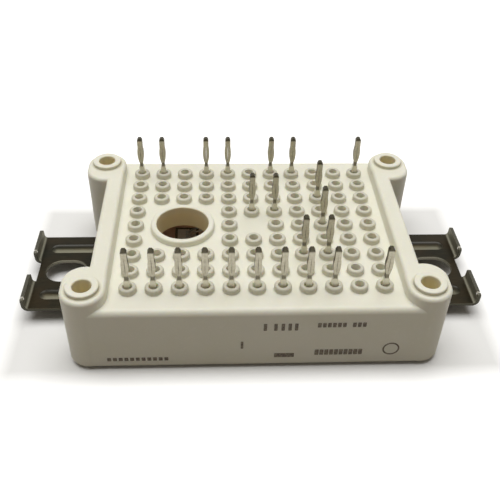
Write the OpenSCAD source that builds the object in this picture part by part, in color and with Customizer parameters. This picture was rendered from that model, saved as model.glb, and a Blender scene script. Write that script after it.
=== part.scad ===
// Power module with press-fit pins, a moulded housing and two screw clamps.
// Origin: centre of the cooling face. +X runs across the clamps, +Z up through the pins.

/* [Housing] */
// Distance from the outer riser columns to the body's side faces
side_margin = 4.9; // [4.5:0.1:8]
// Distance from the outer riser rows to the front and back faces
end_margin = 4; // [3.7:0.1:7]
// Height of the lid's top face above the cooling face
lid_top = 9.95; // [8:0.05:20]
// Thickness of the lid
lid_t = 1.55; // [1:0.05:2.5]
// Thickness of the side walls, which also seat the clamps
side_wall = 3.3; // [3:0.1:4]
// Thickness of the front and back walls
end_wall = 2.7; // [2:0.1:3]
// Height of the moulding's underside above the cooling face
base_z = 0.5; // [0.4:0.05:0.6]
// Radius of the body's long top edges
edge_r = 0.8; // [0.3:0.1:1.2]
// Radius of the body's long bottom edges
foot_r = 0.3; // [0.1:0.1:0.6]
// Width of the raised bar along each side
bar_w = 2.35; // [1.5:0.05:3]
// Height of the bars and domes above the lid
bar_h = 1.55; // [0.8:0.05:3]
// Radius of the bars' top edges
bar_r = 0.5; // [0.2:0.1:0.7]
// How far the foot of a bar's inner face stands out from its top
bar_draft = 0.16; // [0.02:0.02:0.3]

/* [Corner domes] */
// Outer radius of a dome
dome_r = 2.8; // [2.4:0.1:3.4]
// How far a dome's axis stands outside the body's side face
dome_out = 0.35; // [0:0.05:0.8]
// How far a dome's axis stands inside the body's front or back face
dome_in = 2.75; // [2:0.05:3]
// How far a dome runs on from its axis, towards the clamp
dome_run = 1.6; // [0.4:0.1:3]
// Radius of a dome's shoulder
dome_edge_r = 0.5; // [0.2:0.1:0.7]
// Diameter of the raised collar that carries the circuit board
collar_d = 4.1; // [3.4:0.1:4.4]
// Height of the collar above the shoulder
collar_h = 0.5; // [0.3:0.05:1]
// Radius of the collar's top edge
collar_edge_r = 0.18; // [0.05:0.01:0.25]
// Diameter of the screw hole
screw_hole_d = 2.35; // [2:0.05:2.8]
// Depth of the screw hole
screw_hole_depth = 9; // [4:0.5:9]
// Radius of the edge around the screw hole
screw_mouth_r = 0.2; // [0.05:0.05:0.25]

/* [Terminal grid] */
// Distance between neighbouring risers
pitch = 3.2; // [3.1:0.05:4.2]
// Number of riser columns, along X
cols = 11; // [11:1:15]
// Number of riser rows, along Y
rows = 9; // [9:1:12]
// Height of a riser above the lid
riser_h = 0.8; // [0.4:0.05:1.5]
// Wall of a riser around its hole
riser_wall = 0.5; // [0.4:0.02:0.6]
// Radius of a riser's outer top edge
riser_edge_r = 0.28; // [0.1:0.01:0.3]
// Radius of the edge around a riser's hole
riser_mouth_r = 0.08; // [0.02:0.01:0.09]
// Gap between a pin's corners and the riser's hole
pin_clearance = 0.13; // [0.05:0.01:0.2]

/* [Filling port] */
// Diameter of the port's bore
port_d = 7.1; // [5:0.1:7.4]
// Wall of the port's ring
port_wall = 0.8; // [0.6:0.05:1]
// Height of the ring above the lid
port_h = 0.85; // [0.4:0.05:2]
// How far the ring's tube hangs below the lid
port_drop = 0.8; // [0.2:0.1:2]
// Radius of the ring's outer top edge
port_edge_r = 0.3; // [0.1:0.05:0.35]
// Radius of the edge around the bore
port_mouth_r = 0.15; // [0.05:0.05:0.2]

/* [Press-fit pins] */
// Width of a pin's stem
pin_w = 0.72; // [0.6:0.02:0.9]
// Thickness of a pin
pin_t = 0.64; // [0.4:0.02:0.8]
// Height of the pin tips above the lid
pin_rise = 6.55; // [5.8:0.05:9]
// How far the shoulder stands above the riser's top
shoulder_rise = 1.1; // [0.6:0.1:2]
// Width of the neck above the shoulder
neck_w = 0.42; // [0.36:0.02:0.6]
// Greatest width across the two spring legs
spring_w = 0.92; // [0.8:0.02:1.1]
// Length from point to point of the spring legs' outline
spring_l = 4.3; // [3.6:0.1:5]
// Distance from a pin's tip down to the middle of its spring legs
spring_drop = 2.5; // [2.2:0.05:2.8]
// Width of the eye between the legs
eye_w = 0.18; // [0.1:0.02:0.3]
// Length of the eye
eye_l = 2.9; // [1.6:0.1:3.2]
// Width of the tip
tip_w = 0.74; // [0.6:0.02:0.78]
// Height of the tip's chamfer
tip_chamfer = 0.3; // [0.1:0.05:0.5]

/* [Pin sleeves] */
// Gap between a pin's corners and its sleeve
sleeve_clearance = 0.02; // [0.01:0.01:0.05]
// Wall of a sleeve
sleeve_wall = 0.24; // [0.15:0.01:0.3]
// Height of a sleeve
sleeve_h = 3.2; // [2:0.1:4]
// Radius of a sleeve's soldered flange
flange_r = 0.95; // [0.85:0.01:1.05]
// Thickness of the flange
flange_t = 0.25; // [0.15:0.05:0.4]

/* [Clamps] */
// Reach of a clamp from the body's side face to the tabs' outer face
clamp_reach = 10.5; // [9.6:0.1:14]
// Width of a clamp along Y
clamp_w = 15.6; // [12:0.1:18]
// Thickness of the spring steel
clamp_t = 0.45; // [0.3:0.05:0.8]
// Height of the sheet's underside above the cooling face
clamp_z = 1.85; // [1.3:0.05:2.5]
// How deep the sheet sits in the side wall
clamp_seat = 1.8; // [1:0.1:2]
// Gap around the sheet in its pocket
clamp_clearance = 0.05; // [0.02:0.01:0.1]
// Width of each upturned tab
tab_w = 5.6; // [4:0.1:6]
// Height of a tab above the sheet's top
tab_h = 1.5; // [1.2:0.05:3]
// Lean of the tabs from upright, in degrees
tab_lean = 3; // [2:1:30]
// Radius inside a tab's bend
bend_r = 0.45; // [0.2:0.05:0.6]
// Radius of a tab's top corners
tab_corner_r = 0.35; // [0.1:0.05:0.4]
// Width of the nick in a tab's top edge
nick_w = 0.26; // [0.1:0.02:0.4]
// Depth of the nick
nick_depth = 0.32; // [0.2:0.02:0.5]
// Distance from a tab's front end to the middle of its nick
nick_inset = 0.62; // [0.6:0.02:2]
// Distance from the body's side face to the clamping screw
screw_out = 5.6; // [5.2:0.1:7]
// Width of the screw slot
slot_w = 4.5; // [3.4:0.1:4.6]
// Length of the screw slot
slot_l = 5.8; // [4.8:0.1:6]
// Radius of the slot's upper edge, drawn in by the punch
slot_edge_r = 0.12; // [0.04:0.02:0.2]
// Distance of the stiffening beads from the clamp's middle
bead_y = 5; // [4.4:0.1:6]
// Width of a bead
bead_w = 1.9; // [1:0.1:2]
// Height of a bead
bead_h = 0.3; // [0.2:0.05:0.6]
// Distance from the bead's outer end to the tabs
bead_inset = 1; // [0.8:0.1:3]
// Width and height of the groove under a bead, as a share of the bead's own
groove_share = 0.7; // [0.5:0.05:0.8]

/* [Substrate] */
// Width of the housing's ledge that the edge of the ceramic bears on
ledge_w = 1; // [0.8:0.1:1.3]
// Thickness of the ceramic sheet
ceramic_t = 0.4; // [0.25:0.05:0.6]
// Thickness of each copper layer
copper_t = 0.3; // [0.2:0.05:0.4]
// Bare margin between the lower copper and the ceramic's edge
copper_margin = 0.6; // [0.3:0.05:1]
// Gap between the upper copper and the housing's walls
island_margin = 0.2; // [0.1:0.05:0.4]
// Gap between neighbouring copper islands
island_gap = 0.5; // [0.4:0.05:0.6]
// Gap around the ceramic in its rebate
rebate_clearance = 0.1; // [0.05:0.05:0.2]

/* [Chips] */
// Side of a switching chip
igbt_w = 3.6; // [2.8:0.1:3.7]
// Width of a freewheel diode
diode_w = 2.2; // [1.6:0.1:2.3]
// Depth of a freewheel diode
diode_d = 2.8; // [2:0.1:3]
// Side of a rectifier diode
rectifier_w = 2.2; // [1.6:0.1:2.3]
// Thickness of a chip
chip_t = 0.2; // [0.1:0.05:0.4]
// Thickness of a power wire
wire_d = 0.3; // [0.2:0.05:0.4]
// Thickness of a gate wire
gate_wire_d = 0.15; // [0.1:0.01:0.2]
// Distance from a switching chip's edges to the foot of its gate wire
gate_inset = 0.35; // [0.3:0.05:0.6]
// Height of the gel above the ceramic
gel_h = 2.8; // [2.4:0.1:3]

/* [Hidden] */
$fn = 48;
eps = 0.01;

// ---- places worked out from the dimensions above

// The body is as wide and as deep as its grid of risers needs
body_w = (cols - 1) * pitch + 2 * side_margin;
body_d = (rows - 1) * pitch + 2 * end_margin;

// Heights of the layers, from the cooling face up
ceramic_z = copper_t;
top_copper_z = ceramic_z + ceramic_t;
chip_z = top_copper_z + copper_t;
ledge_z = top_copper_z;
lid_under = lid_top - lid_t;
bar_top = lid_top + bar_h;
collar_top = bar_top + collar_h;
pin_top = lid_top + pin_rise;

// Inner cavity of the housing
cavity_w = body_w - 2 * side_wall;
cavity_d = body_d - 2 * end_wall;
ceramic_w = cavity_w + 2 * ledge_w;
ceramic_d = cavity_d + 2 * ledge_w;

// Dome axes
dome_x = body_w / 2 + dome_out;
dome_y = body_d / 2 - dome_in;

// The hole in a riser clears the corners of a pin, and so does a sleeve's bore
pin_corner_r = norm([pin_w, pin_t]) / 2;
riser_hole_r = pin_corner_r + pin_clearance;
riser_r = riser_hole_r + riser_wall;
sleeve_bore_r = pin_corner_r + sleeve_clearance;
sleeve_r = sleeve_bore_r + sleeve_wall;

// Places on the terminal grid, as [column, row] from the front left corner
function gx(col) = pitch * (col - (cols - 1) / 2);
function gy(row) = pitch * (row - (rows - 1) / 2);
port_place = [2, 4];
bare_place = [5, 4];
port_r = port_d / 2;
port_ring_r = port_r + port_wall;
function port_distance(p) = pitch * norm(p - port_place);
riser_places = [
    for (row = [0:rows - 1], col = [0:cols - 1])
        if (port_distance([col, row]) > port_ring_r + riser_r && [col, row] != bare_place)
            [col, row]
];
pin_places = [
    [0, 0], [1, 0], [2, 0], [3, 0], [4, 0], [5, 0], [6, 0], [7, 0], [8, 0], [10, 0],
    [7, 2], [8, 2], [8, 4], [5, 5], [6, 5], [8, 6],
    [0, 8], [1, 8], [3, 8], [4, 8], [6, 8], [7, 8], [10, 8]
];

// Clamp stations along X, from the body outwards
clamp_inner_x = body_w / 2 - clamp_seat;
clamp_outer_x = body_w / 2 + clamp_reach;
bend_angle = 90 - tab_lean;
clamp_top = clamp_z + clamp_t;
tab_straight = (tab_h - bend_r * (1 - cos(bend_angle))) / sin(bend_angle);
bend_x = clamp_outer_x - (bend_r + clamp_t) * sin(bend_angle) - tab_straight * cos(bend_angle);
bead_end_x = bend_x - bead_inset;
bead_start_x = body_w / 2 + bead_w / 2 + clamp_clearance;

// Chips, each as [name, column, row] on the terminal grid
igbts = [
    ["brake_igbt", 2, 7], ["igbt_1", 9.1, 1.85], ["igbt_2", 9.1, 3.95], ["igbt_3", 9.1, 6.05],
    ["igbt_4", 4.25, 2], ["igbt_5", 4.25, 3.75], ["igbt_6", 5.5, 6.5]
];
diodes = [
    ["brake_diode", 1.9, 4.55], ["diode_1", 10.04, 1.85], ["diode_2", 10.04, 3.95],
    ["diode_3", 10.04, 6.05], ["diode_4", 5.45, 2], ["diode_5", 5.45, 3.75],
    ["diode_6", 5.02, 7.85]
];
rectifiers = [
    ["rectifier_1", 0, 1.3], ["rectifier_2", 1, 1.3], ["rectifier_3", 2, 1.3],
    ["rectifier_4", 0, 3.6], ["rectifier_5", 1, 3.6], ["rectifier_6", 2, 3.6]
];
function spot(list, i) = [gx(list[i][1]), gy(list[i][2]), chip_z + chip_t];
function on_copper(col, row) = [gx(col), gy(row), chip_z];

// Upper copper, as [left, front, right, back] on the grid; the outer edges stop at the walls
islands = [
    [-1, -1, 0.5, 2.4], [0.5, -1, 1.5, 2.4], [1.5, -1, 2.5, 2.4],
    [2.5, -1, 3.5, 2.95],
    [-1, 2.95, 3.5, 5.1],
    [0.5, 5.1, 3.5, 7.6],
    [2.62, 7.6, 3.5, rows], [3.5, 4.5, 4.5, rows],
    [3.5, -1, 4.5, 1], [4.5, -1, 5.5, 1], [5.5, -1, 6.5, 1],
    [3.5, 1, 7.5, 3], [3.5, 3, 7.5, 4.5],
    [4.5, 4.5, 5.5, 5.6], [5.5, 4.5, 6.5, 5.6], [4.5, 5.6, 6.5, rows],
    [7.5, 1, 8.45, 3], [7.5, 3, 8.45, 5], [7.5, 5, 8.45, 7.4],
    [8.45, -1, cols, 7.4], [7.5, 7.4, cols, rows]
];
// Arms that widen the island in front of them: corner pin, brake and phase V
front_arms = [[-1, 5.1, 0.5, rows], [0.5, 7.6, 2.62, rows], [6.5, 4.5, 7.5, rows]];
// Arm that widens the island behind it: phase U
back_arms = [[6.5, -1, 7.5, 1]];
// Arms that widen the island on their right: rectifier strip and plus bar
right_arms = [[-1, 2.4, 2.5, 2.95], [7.5, -1, 8.45, 1]];

thermistor_place = [5.5, 5.35];
thermistor_size = [1.6, 0.8, 0.6];

pin_names = [for (p = pin_places) str("pin_", p[0], "_", p[1])];

// ---- shared shapes

// A rectangle centred on x, with rounded top corners and, where foot > 0, rounded bottom ones
module rounded_bar(w, h, r, foot = 0) {
    difference() {
        translate([-w / 2, 0]) square([w, h]);
        for (s = [-1, 1]) {
            corner_cut(s * w / 2, h, r, -s, -1);
            if (foot > 0) corner_cut(s * w / 2, 0, foot, -s, 1);
        }
    }
}

// What rounding takes off the corner at (x, y); dx and dy point into the shape
module corner_cut(x, y, r, dx, dy) {
    translate([x + dx * r, y + dy * r]) difference() {
        translate([dx > 0 ? -2 * r : 0, dy > 0 ? -2 * r : 0]) square(2 * r);
        circle(r);
    }
}

// A pointed oval made by two equal arcs: their radius, the distance from its middle to where it is
// just so wide, and the oval itself
function lens_r(w, l) = (w * w + l * l) / (4 * w);
function lens_reach(w, l, width) = sqrt(lens_r(w, l) ^ 2 - (lens_r(w, l) - (w - width) / 2) ^ 2);
module lens(w, l) {
    r = lens_r(w, l);
    intersection() {
        translate([r - w / 2, 0]) circle(r, $fn = 240);
        translate([w / 2 - r, 0]) circle(r, $fn = 240);
    }
}

// A hole of radius r from z0 up to its rounded mouth at z1
module bore(r, z0, z1, mouth_r) {
    rotate_extrude() {
        translate([0, z0]) square([r, z1 - z0 + eps]);
        corner_cut(r, z1, mouth_r, 1, -1);
    }
}

// A ridge along X from x0 to x1 with half-round ends; the profile's x is the distance from its axis
module ridge(x0, x1) {
    translate([x0, 0, 0]) rotate([90, 0, 90]) linear_extrude(x1 - x0) {
        children();
        mirror([1, 0]) children();
    }
    translate([x1, 0, 0]) rotate([0, 0, -90]) rotate_extrude(angle = 180) children();
    translate([x0, 0, 0]) rotate([0, 0, 90]) rotate_extrude(angle = 180) children();
}

// The part of a circle that rises h over a chord w wide, right half only
module bead_profile(w, h) {
    r = (w * w / 4 + h * h) / (2 * h);
    intersection() {
        translate([0, h - r]) circle(r, $fn = 96);
        square([w, h + eps]);
    }
}

// ---- housing

// A front dome, with the round collar on its own axis
module dome_solid() {
    rotate([0, 0, 90]) ridge(0, dome_run) difference() {
        translate([0, base_z]) square([dome_r, bar_top - base_z]);
        corner_cut(dome_r, bar_top, dome_edge_r, -1, -1);
        corner_cut(dome_r, base_z, foot_r, -1, 1);
    }
    rotate_extrude() difference() {
        translate([0, lid_top]) square([collar_d / 2, collar_top - lid_top]);
        corner_cut(collar_d / 2, collar_top, collar_edge_r, -1, -1);
    }
}

module riser_solid() {
    rotate_extrude() difference() {
        translate([0, lid_under + lid_t / 2]) square([riser_r, lid_t / 2 + riser_h]);
        corner_cut(riser_r, lid_top + riser_h, riser_edge_r, -1, -1);
    }
}

module port_solid() {
    rotate_extrude() difference() {
        translate([port_r - port_wall / 2, lid_under - port_drop])
            square([port_wall * 1.5, lid_t + port_drop + port_h]);
        corner_cut(port_ring_r, lid_top + port_h, port_edge_r, -1, -1);
    }
}

module body_shell() {
    difference() {
        translate([-body_w / 2, 0, base_z]) rotate([90, 0, 90]) linear_extrude(body_w)
            rounded_bar(body_d, lid_top - base_z, edge_r, foot_r);
        translate([-cavity_w / 2, -cavity_d / 2, 0]) cube([cavity_w, cavity_d, lid_under]);
    }
}

module side_bars() {
    top = bar_top - lid_under;
    for (s = [-1, 1])
        translate([s * (body_w - bar_w) / 2, dome_y, lid_under])
            rotate([90, 0, 0]) linear_extrude(2 * dome_y) {
                rounded_bar(bar_w, top, bar_r);
                polygon([
                    [0, lid_t / 2], [-s * (bar_w / 2 + bar_draft), lid_t / 2],
                    [-s * (bar_w / 2 + bar_draft), lid_t], [-s * bar_w / 2, top - bar_r],
                    [0, top - bar_r]
                ]);
            }
}

module substrate_rebate() {
    w = ceramic_w + 2 * rebate_clearance;
    d = ceramic_d + 2 * rebate_clearance;
    translate([-w / 2, -d / 2, 0]) cube([w, d, ledge_z]);
}

module clamp_pocket() {
    w = clamp_w + 2 * clamp_clearance;
    translate([clamp_inner_x - clamp_clearance, -w / 2, clamp_z - clamp_clearance])
        cube([clamp_seat + dome_r, w, clamp_t + 2 * clamp_clearance]);
}

module housing() {
    color([0.90, 0.88, 0.81]) difference() {
        union() {
            body_shell();
            side_bars();
            for (x = [-dome_x, dome_x], half_turn = [0, 180])
                rotate([0, 0, half_turn]) translate([x, -dome_y, 0]) dome_solid();
            for (p = riser_places) translate([gx(p[0]), gy(p[1]), 0]) riser_solid();
            translate([gx(port_place[0]), gy(port_place[1]), 0]) port_solid();
        }
        for (p = riser_places)
            translate([gx(p[0]), gy(p[1]), 0])
                bore(riser_hole_r, lid_under - eps, lid_top + riser_h, riser_mouth_r);
        translate([gx(port_place[0]), gy(port_place[1]), 0])
            bore(port_r, lid_under - port_drop - eps, lid_top + port_h, port_mouth_r, $fn = 96);
        for (x = [-dome_x, dome_x], y = [-dome_y, dome_y])
            translate([x, y, 0])
                bore(screw_hole_d / 2, collar_top - screw_hole_depth, collar_top, screw_mouth_r);
        substrate_rebate();
        clamp_pocket();
        mirror([1, 0, 0]) clamp_pocket();
    }
}

// ---- clamps: one bent sheet each, drawn on the right-hand side

module clamp_sheet() {
    translate([clamp_inner_x, -clamp_w / 2, clamp_z])
        cube([bend_x - clamp_inner_x, clamp_w, clamp_t]);
}

module clamp_tab() {
    translate([bend_x, tab_w / 2, clamp_top + bend_r]) rotate([90, 0, 0]) {
        rotate([0, 0, -90]) rotate_extrude(angle = bend_angle)
            translate([bend_r, 0]) square([clamp_t, tab_w]);
    }
}

module tab_blade() {
    translate([bend_x, 0, clamp_top + bend_r]) rotate([0, -bend_angle, 0])
        translate([0, 0, -bend_r - clamp_t]) linear_extrude(clamp_t) difference() {
            translate([0, -tab_w / 2]) square([tab_straight, tab_w]);
            for (s = [-1, 1]) corner_cut(tab_straight, s * tab_w / 2, tab_corner_r, -1, -s);
            translate([tab_straight, nick_inset - tab_w / 2]) nick();
        }
}

// The nick that locates the strip in its bending tool, with a half-round bottom
module nick() {
    translate([-nick_depth + nick_w / 2, -nick_w / 2]) square([nick_depth, nick_w]);
    translate([-nick_depth + nick_w / 2, 0]) circle(d = nick_w);
}

module clamp() {
    mid = body_w / 2 + screw_out;
    end = (slot_l - slot_w) / 2;
    difference() {
        union() {
            clamp_sheet();
            for (s = [-1, 1]) translate([0, s * (clamp_w - tab_w) / 2, 0]) {
                clamp_tab();
                tab_blade();
            }
            for (y = [-bead_y, bead_y]) translate([0, y, clamp_top])
                ridge(bead_start_x, bead_end_x - bead_w / 2) bead_profile(bead_w, bead_h);
        }
        ridge(mid - end, mid + end) {
            translate([0, clamp_z - eps]) square([slot_w / 2, clamp_t + 2 * eps]);
            corner_cut(slot_w / 2, clamp_top, slot_edge_r, 1, -1);
        }
        for (y = [-bead_y, bead_y]) translate([0, y, clamp_z])
            ridge(bead_start_x, bead_end_x - bead_w / 2)
                bead_profile(bead_w * groove_share, bead_h * groove_share);
    }
}

module clamp_left() {
    color([0.21, 0.20, 0.17]) mirror([1, 0, 0]) clamp();
}

module clamp_right() {
    color([0.21, 0.20, 0.17]) clamp();
}

// ---- substrate: ceramic sheet with copper on both faces

module bottom_copper() {
    w = ceramic_w - 2 * copper_margin;
    d = ceramic_d - 2 * copper_margin;
    color([0.72, 0.45, 0.30]) translate([-w / 2, -d / 2, 0]) cube([w, d, copper_t]);
}

module ceramic_substrate() {
    color([0.93, 0.92, 0.88]) translate([-ceramic_w / 2, -ceramic_d / 2, ceramic_z])
        cube([ceramic_w, ceramic_d, ceramic_t]);
}

// One copper rectangle; its sides stand half a gap inside the grid lines, or at the wall's margin
module island(a, front = 0, back = 0, right = 0) {
    edge_x = cavity_w / 2 - island_margin;
    edge_y = cavity_d / 2 - island_margin;
    x0 = max(gx(a[0]) + island_gap / 2, -edge_x);
    x1 = min(gx(a[2]) - island_gap / 2 + right, edge_x);
    y0 = max(gy(a[1]) + island_gap / 2 - front, -edge_y);
    y1 = min(gy(a[3]) - island_gap / 2 + back, edge_y);
    translate([x0, y0]) square([x1 - x0, y1 - y0]);
}

module top_copper() {
    color([0.74, 0.47, 0.32]) translate([0, 0, top_copper_z]) linear_extrude(copper_t) {
        for (a = islands) island(a);
        for (a = front_arms) island(a, front = island_gap + eps);
        for (a = back_arms) island(a, back = island_gap + eps);
        for (a = right_arms) island(a, right = island_gap + eps);
    }
}

// ---- pins and sleeves

// Front outline of a pin, with z up the page and the pin's own foot at zero
module pin_outline() {
    foot = chip_z;
    shoulder = lid_top + riser_h + shoulder_rise;
    shoulder_slope = pin_w / 4;
    spring_mid = pin_top - spring_drop;
    neck_top = spring_mid - lens_reach(spring_w, spring_l, neck_w) + eps;
    tip_bottom = spring_mid + lens_reach(spring_w, spring_l, tip_w) - eps;
    difference() {
        union() {
            polygon([
                [-pin_w / 2, foot], [pin_w / 2, foot], [pin_w / 2, shoulder - shoulder_slope],
                [neck_w / 2, shoulder], [neck_w / 2, neck_top], [-neck_w / 2, neck_top],
                [-neck_w / 2, shoulder], [-pin_w / 2, shoulder - shoulder_slope]
            ]);
            translate([0, spring_mid]) lens(spring_w, spring_l);
            polygon([
                [-tip_w / 2, tip_bottom], [tip_w / 2, tip_bottom],
                [tip_w / 2, pin_top - tip_chamfer], [tip_w / 4, pin_top],
                [-tip_w / 4, pin_top], [-tip_w / 2, pin_top - tip_chamfer]
            ]);
        }
        translate([0, spring_mid]) lens(eye_w, eye_l);
    }
}

module pin(place) {
    color([0.62, 0.60, 0.52]) translate([gx(place[0]), gy(place[1]) + pin_t / 2, 0])
        rotate([90, 0, 0]) linear_extrude(pin_t) pin_outline();
}

module pin_sleeves() {
    color([0.80, 0.79, 0.75]) for (p = pin_places)
        translate([gx(p[0]), gy(p[1]), chip_z]) rotate_extrude() polygon([
            [sleeve_bore_r, 0], [flange_r, 0], [flange_r, flange_t], [sleeve_r, flange_t],
            [sleeve_r, sleeve_h], [sleeve_bore_r, sleeve_h]
        ]);
}

// ---- chips, thermistor, wires and gel

module chip(c, w, d, tint) {
    color(tint) translate([gx(c[1]) - w / 2, gy(c[2]) - d / 2, chip_z]) cube([w, d, chip_t]);
}

module thermistor() {
    s = thermistor_size;
    color([0.35, 0.33, 0.30])
        translate([gx(thermistor_place[0]) - s[0] / 2, gy(thermistor_place[1]) - s[1] / 2, chip_z])
            cube(s);
}

// One wedge-bonded wire from a to b: an arc with a flattened foot at each end
module wire(a, b, d, rise) {
    foot_l = 3 * d;
    foot_w = 1.4 * d;
    foot_h = 0.7 * d;
    axis_h = 0.55 * d;
    run = norm([b[0] - a[0], b[1] - a[1]]);
    chord = norm([run, b[2] - a[2]]);
    r = (chord * chord / 4 + rise * rise) / (2 * rise);
    sweep = 2 * asin(chord / 2 / r);
    translate(a) rotate([0, 0, atan2(b[1] - a[1], b[0] - a[0])]) {
        translate([0, 0, axis_h]) rotate([90, -atan2(b[2] - a[2], run), 0])
            translate([chord / 2, rise - r, 0]) rotate([0, 0, 90 - sweep / 2])
                rotate_extrude(angle = sweep) translate([r, 0]) circle(d / 2, $fn = 16);
        translate([-foot_l / 2, -foot_w / 2, 0]) cube([foot_l, foot_w, foot_h]);
        translate([run - foot_l / 2, -foot_w / 2, b[2] - a[2]]) cube([foot_l, foot_w, foot_h]);
    }
}

// Two wires side by side
module wire_pair(a, b, rise, half_gap = 0.45) {
    side = abs(b[0] - a[0]) > abs(b[1] - a[1]) ? [0, half_gap, 0] : [half_gap, 0, 0];
    for (s = [-1, 1]) wire(a + s * side, b + s * side, wire_d, rise);
}

module power_wires() {
    color([0.82, 0.82, 0.80]) {
        // brake chip to its emitter island, and the brake diode to the brake island
        wire_pair(spot(igbts, 0) + [0.3, 0, 0], on_copper(4, 7), 1.2);
        wire_pair(spot(diodes, 0) + [0, 0.4, 0], on_copper(1.9, 5.6), 0.8);
        // upper switches: diode to chip, and chip past the pins to its phase island
        phase_pads = [on_copper(7.2, 2.7), on_copper(7.2, 4.7), on_copper(6.25, 6.7)];
        for (i = [1:3]) {
            wire_pair(spot(diodes, i), spot(igbts, i) + [0.9, 0, 0], 0.8);
            wire_pair(spot(igbts, i) + [-0.9, 1.15, 0], phase_pads[i - 1], 1.3, 0.3);
        }
        // lower switches: diode to chip, and chip to its emitter island
        for (i = [4:5]) wire_pair(spot(diodes, i), spot(igbts, i) + [0.6, 0, 0], 0.8);
        wire_pair(spot(diodes, 6) + [0.2, 0, 0], spot(igbts, 6) + [0.3, 0.9, 0], 0.8);
        wire_pair(spot(igbts, 4) + [-0.7, 0.2, 0], on_copper(4, 0.7), 1);
        wire_pair(spot(igbts, 5) + [-0.7, 0.6, 0], on_copper(4, 4.95), 0.9);
        wire_pair(spot(igbts, 6) + [-0.6, -0.7, 0], on_copper(4, 6.28), 1);
        // rectifier: front diodes to the negative strip, back diodes over it to their phase
        for (i = [0:2]) {
            shift = [rectifier_w / 4, 0, 0];
            wire_pair(spot(rectifiers, i) - shift, on_copper(i, 2.68) - shift, 0.8, 0.25);
            wire_pair(spot(rectifiers, i + 3) + shift, on_copper(i, 2.05) + shift, 1.2, 0.25);
        }
    }
}

module gate_wires() {
    color([0.85, 0.84, 0.80]) {
        reach = igbt_w / 2 - gate_inset;
        wire(spot(igbts, 0) + [reach, reach, 0], on_copper(3.3, 7.72), gate_wire_d, 0.6);
        for (i = [1:3])
            wire(spot(igbts, i) - [reach, reach, 0], on_copper(8.25, igbts[i][2] - 0.45), gate_wire_d, 0.6);
        wire(spot(igbts, 4) + [reach, -reach, 0], on_copper(5, 0.75), gate_wire_d, 0.8);
        wire(spot(igbts, 5) + [reach, -reach, 0], on_copper(6, 0.75), gate_wire_d, 1.3);
        wire(spot(igbts, 6) + [reach, reach, 0], on_copper(7.8, 7.8), gate_wire_d, 1.2);
    }
}

module silicone_gel() {
    color([0.85, 0.88, 0.90, 0.4]) difference() {
        translate([-cavity_w / 2, -cavity_d / 2, top_copper_z]) cube([cavity_w, cavity_d, gel_h]);
        top_copper();
        thermistor();
        power_wires();
        gate_wires();
        for (p = pin_places) translate([gx(p[0]), gy(p[1]), chip_z]) {
            cylinder(r = flange_r, h = flange_t);
            cylinder(r = sleeve_r, h = sleeve_h + eps);
        }
        for (c = igbts) chip(c, igbt_w, igbt_w, "gray");
        for (c = diodes) chip(c, diode_w, diode_d, "gray");
        for (c = rectifiers) chip(c, rectifier_w, rectifier_w, "gray");
    }
}

// ---- the nodes

housing();
clamp_left();
clamp_right();
bottom_copper();
ceramic_substrate();
top_copper();
pin_sleeves();
thermistor();
power_wires();
gate_wires();
silicone_gel();
for (i = [0:len(pin_places) - 1])
    pin(pin_places[i]);
for (c = igbts)
    chip(c, igbt_w, igbt_w, [0.30, 0.30, 0.33]);
for (c = diodes)
    chip(c, diode_w, diode_d, [0.40, 0.40, 0.42]);
for (c = rectifiers)
    chip(c, rectifier_w, rectifier_w, [0.40, 0.40, 0.42]);
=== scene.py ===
import math

import bmesh
import bpy
from mathutils import Matrix, Vector


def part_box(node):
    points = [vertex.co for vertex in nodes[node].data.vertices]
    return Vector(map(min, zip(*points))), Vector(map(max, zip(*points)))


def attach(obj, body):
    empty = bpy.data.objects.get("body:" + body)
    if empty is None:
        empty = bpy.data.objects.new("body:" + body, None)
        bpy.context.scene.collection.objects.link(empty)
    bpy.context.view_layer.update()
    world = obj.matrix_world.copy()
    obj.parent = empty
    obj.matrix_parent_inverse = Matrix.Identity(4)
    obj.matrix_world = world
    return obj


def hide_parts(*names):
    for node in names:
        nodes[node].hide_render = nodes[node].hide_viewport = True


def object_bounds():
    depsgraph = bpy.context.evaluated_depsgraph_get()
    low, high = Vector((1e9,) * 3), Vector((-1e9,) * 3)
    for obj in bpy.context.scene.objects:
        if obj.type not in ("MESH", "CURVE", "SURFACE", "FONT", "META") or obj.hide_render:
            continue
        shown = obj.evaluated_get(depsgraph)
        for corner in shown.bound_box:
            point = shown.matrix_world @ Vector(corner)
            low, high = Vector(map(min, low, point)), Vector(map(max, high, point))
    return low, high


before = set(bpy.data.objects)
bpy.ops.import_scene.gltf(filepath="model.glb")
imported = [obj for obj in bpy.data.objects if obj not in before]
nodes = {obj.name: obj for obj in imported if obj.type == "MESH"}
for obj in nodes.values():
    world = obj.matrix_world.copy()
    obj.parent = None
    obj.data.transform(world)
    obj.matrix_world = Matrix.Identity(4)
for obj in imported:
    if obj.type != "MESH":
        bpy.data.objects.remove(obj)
cad_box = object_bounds()
MM = 0.001

# ---- Camera
# A phone held about nine centimetres off the lid's front edge, looking down at 41 degrees,
# so the near side looks large and the far pins lean together. It is rolled by under 2 degrees.
aim = Vector((-0.74, -9.17, 10)) * MM
aim_distance = 90.6 * MM
turn = -0.06224
tilt = 0.71122
roll = 0.0306

back = Vector((math.sin(turn) * math.cos(tilt), -math.cos(turn) * math.cos(tilt), math.sin(tilt)))
level = (-back).cross(Vector((0, 0, 1))).normalized()
upright = level.cross(-back)
across = math.cos(roll) * level + math.sin(roll) * upright
upwards = math.cos(roll) * upright - math.sin(roll) * level

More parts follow.
